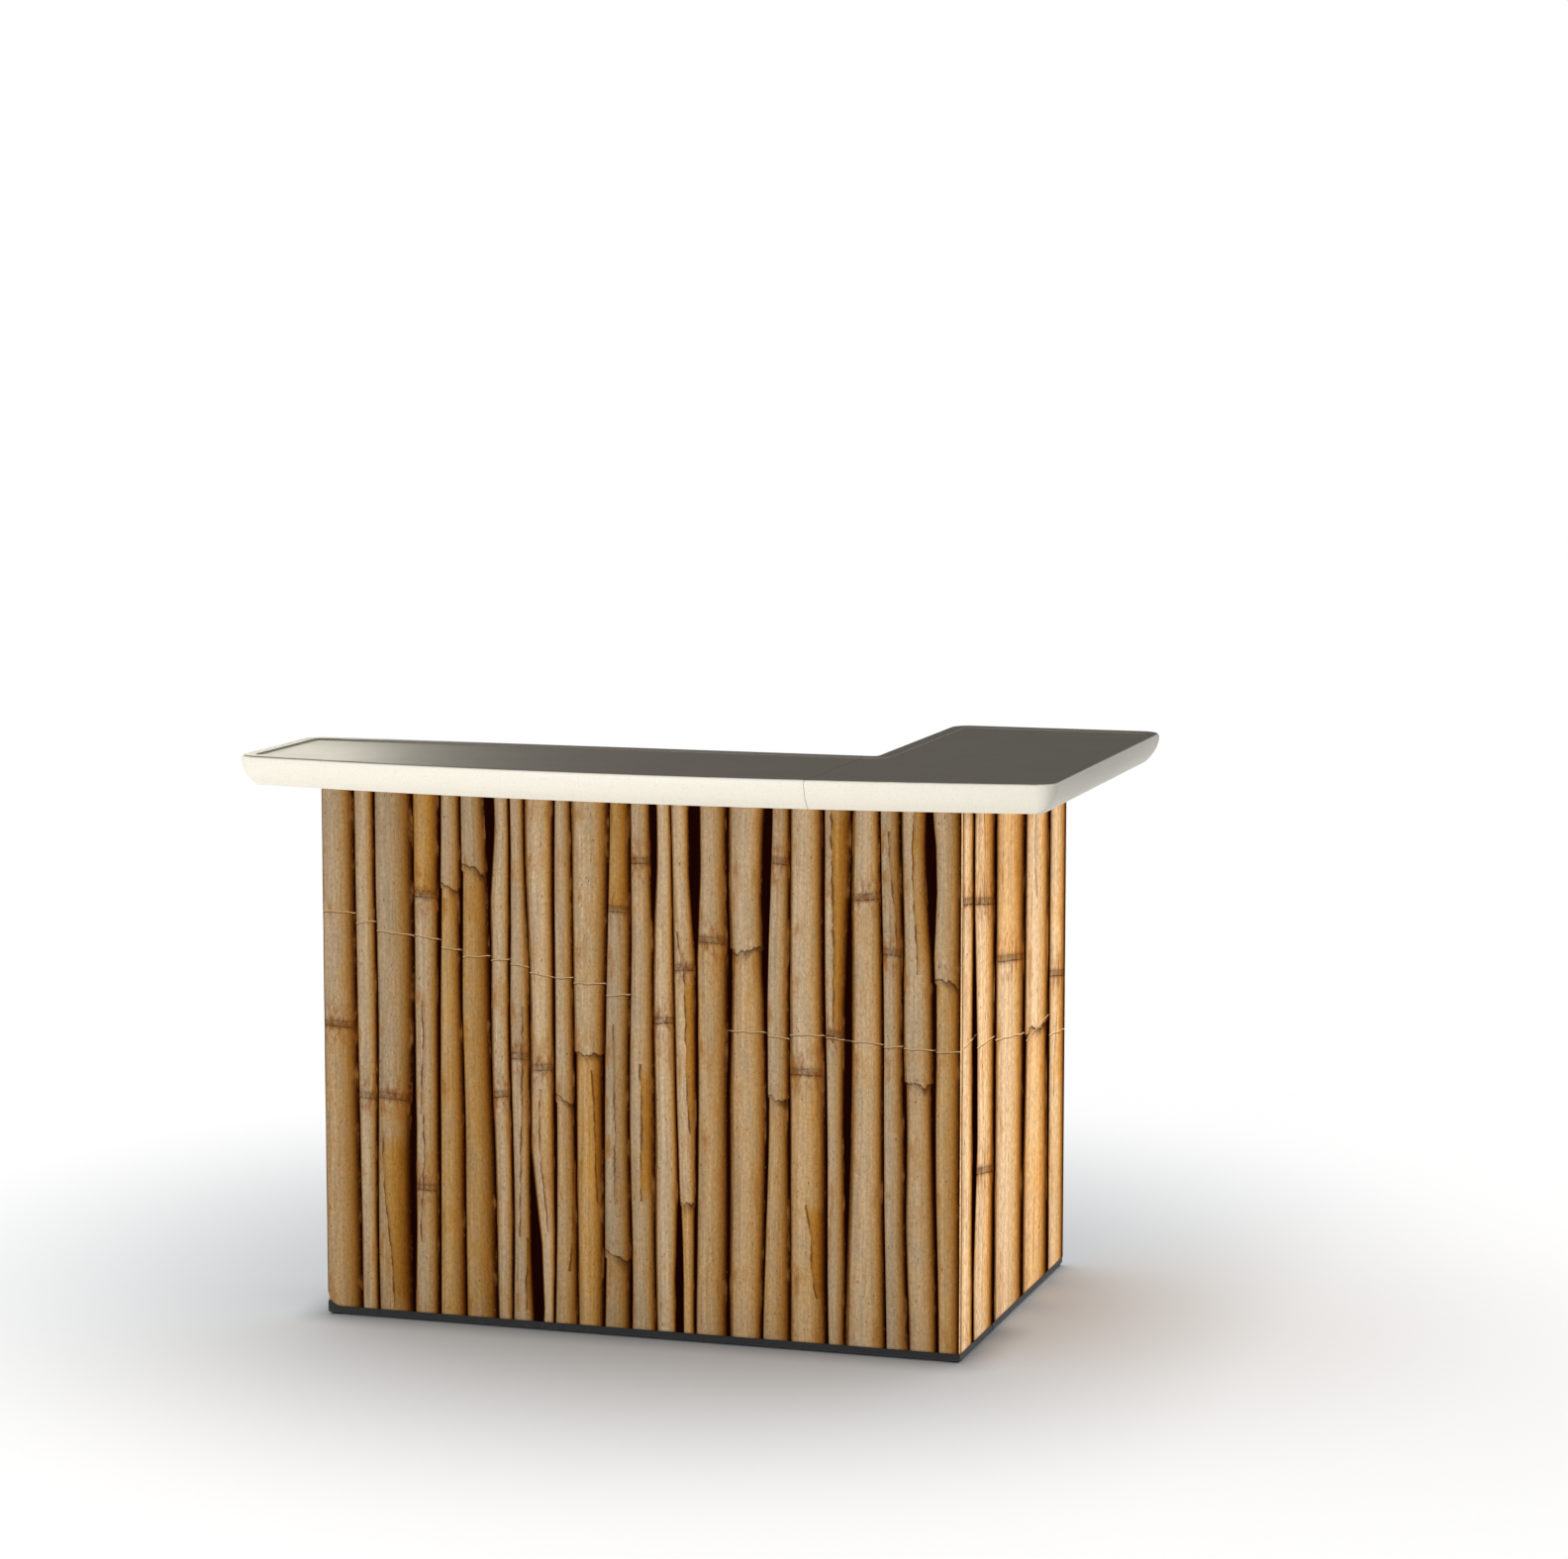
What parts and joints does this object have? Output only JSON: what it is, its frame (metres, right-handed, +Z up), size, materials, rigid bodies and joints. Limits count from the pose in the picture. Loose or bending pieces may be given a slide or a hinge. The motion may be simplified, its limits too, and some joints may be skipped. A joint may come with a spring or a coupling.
{
  "type": "portable bar",
  "caption": "L-shaped portable bar: tube frame with a folding return wing, two lift-off countertops with rounded edges, open shelves at the back and a printed cane skirt.",
  "frame": {"origin": "on the floor, under the middle of the outside box", "axes": "+X to the customer's right, along the long counter; +Y from the customer's side to the back, along the return; +Z up"},
  "size_m": [1.575, 0.99, 1.08],
  "materials": {
    "countertop": "finely speckled moulded plastic, cream edge and taupe deck",
    "skirt": "matt printed cloth, upright canes",
    "touch_tape": "hook-and-loop tape",
    "frame_tube": "satin grey square tube",
    "base_tube": "dark grey powder coat",
    "fitting": "moulded nylon, fine grain",
    "shelf": "moulded plastic, fine grain",
    "glide": "matt",
    "hinge": "zinc plated",
    "screw": "zinc plated"
  },
  "bodies": {
    "frame": {"post_lower_front_left": "frame_tube", "post_lower_front_right": "frame_tube", "post_lower_rear_left": "frame_tube", "post_lower_rear_right": "frame_tube", "post_upper_front_left": "frame_tube", "post_upper_front_right": "frame_tube", "post_upper_rear_left": "frame_tube", "post_upper_rear_right": "frame_tube", "rail_low_front": "base_tube", "rail_low_rear": "base_tube", "rail_low_left": "base_tube", "rail_low_right": "base_tube", "rail_middle_front": "frame_tube", "rail_middle_rear": "frame_tube", "rail_middle_left": "frame_tube", "rail_middle_right": "frame_tube", "rail_high_front": "frame_tube", "rail_high_rear": "frame_tube", "rail_high_left": "frame_tube", "rail_high_right": "frame_tube", "fitting_low_front_left": "fitting", "fitting_low_front_right": "fitting", "fitting_low_rear_left": "fitting", "fitting_low_rear_right": "fitting", "fitting_middle_front_left": "fitting", "fitting_middle_front_right": "fitting", "fitting_middle_rear_left": "fitting", "fitting_middle_rear_right": "fitting", "fitting_high_front_left": "fitting", "fitting_high_front_right": "fitting", "fitting_high_rear_left": "fitting", "fitting_high_rear_right": "fitting", "shelf_low": "shelf", "shelf_middle": "shelf", "glides_frame": "glide", "hinge_leaves_frame": "hinge", "hinge_pins": "hinge", "hinge_screws_frame": "screw", "touch_tape_frame": "touch_tape", "skirt_front": "skirt", "skirt_side": "skirt"},
    "wing": {"wing_post_hinge": "frame_tube", "wing_post_end": "frame_tube", "wing_rail_low": "base_tube", "wing_rail_high": "frame_tube", "wing_fitting_low_hinge": "fitting", "wing_fitting_low_end": "fitting", "wing_fitting_high_hinge": "fitting", "wing_fitting_high_end": "fitting", "glides_wing": "glide", "hinge_leaves_wing": "hinge", "hinge_screws_wing": "screw", "touch_tape_wing": "touch_tape", "skirt_wing": "skirt"},
    "main_counter": {"countertop_main": "countertop"},
    "return_counter": {"countertop_return": "countertop"}
  },
  "joints": [
    {"name": "wing_fold", "type": "hinge", "parent": "frame", "child": "wing", "pos_m": [0.571, -0.1083, 0.5], "axis": [0, 0, 1], "range_deg": [0, 90]},
    {"name": "main_lift", "type": "slide", "parent": "frame", "child": "main_counter", "axis": [0, 0, 1], "range_m": [0, 0.15]},
    {"name": "return_lift", "type": "slide", "parent": "frame", "child": "return_counter", "axis": [0, 0, 1], "range_m": [0, 0.15]}
  ]
}
